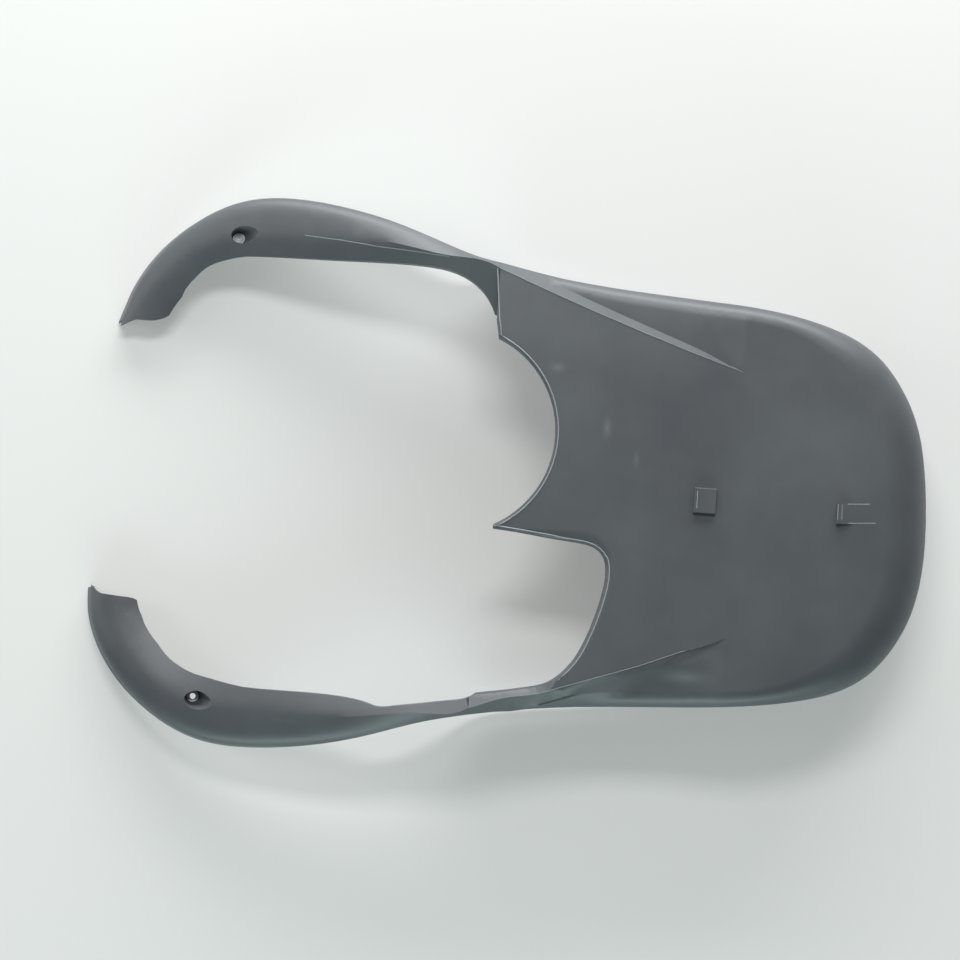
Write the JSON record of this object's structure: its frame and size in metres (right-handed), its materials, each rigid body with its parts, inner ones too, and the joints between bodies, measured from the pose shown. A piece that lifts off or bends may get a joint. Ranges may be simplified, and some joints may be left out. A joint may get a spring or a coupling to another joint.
{
  "type": "scooter lower body panel",
  "caption": "Moulded underfloor panel: shallow rounded tray with creased plate, notched rear edge and two long curved arms that sweep down and in to blunt tips.",
  "frame": {"origin": "under the middle of the panel, at the height of its lowest rim, with the outer (belly) face up", "axes": "+X to the nose, +Y to the arm beside the round notch, +Z out of the belly face"},
  "size_m": [0.6928, 0.459, 0.094],
  "materials": {
    "panel": "fine matt grain"
  },
  "bodies": {
    "root": {"lower_body_panel": "panel"}
  },
  "joints": []
}
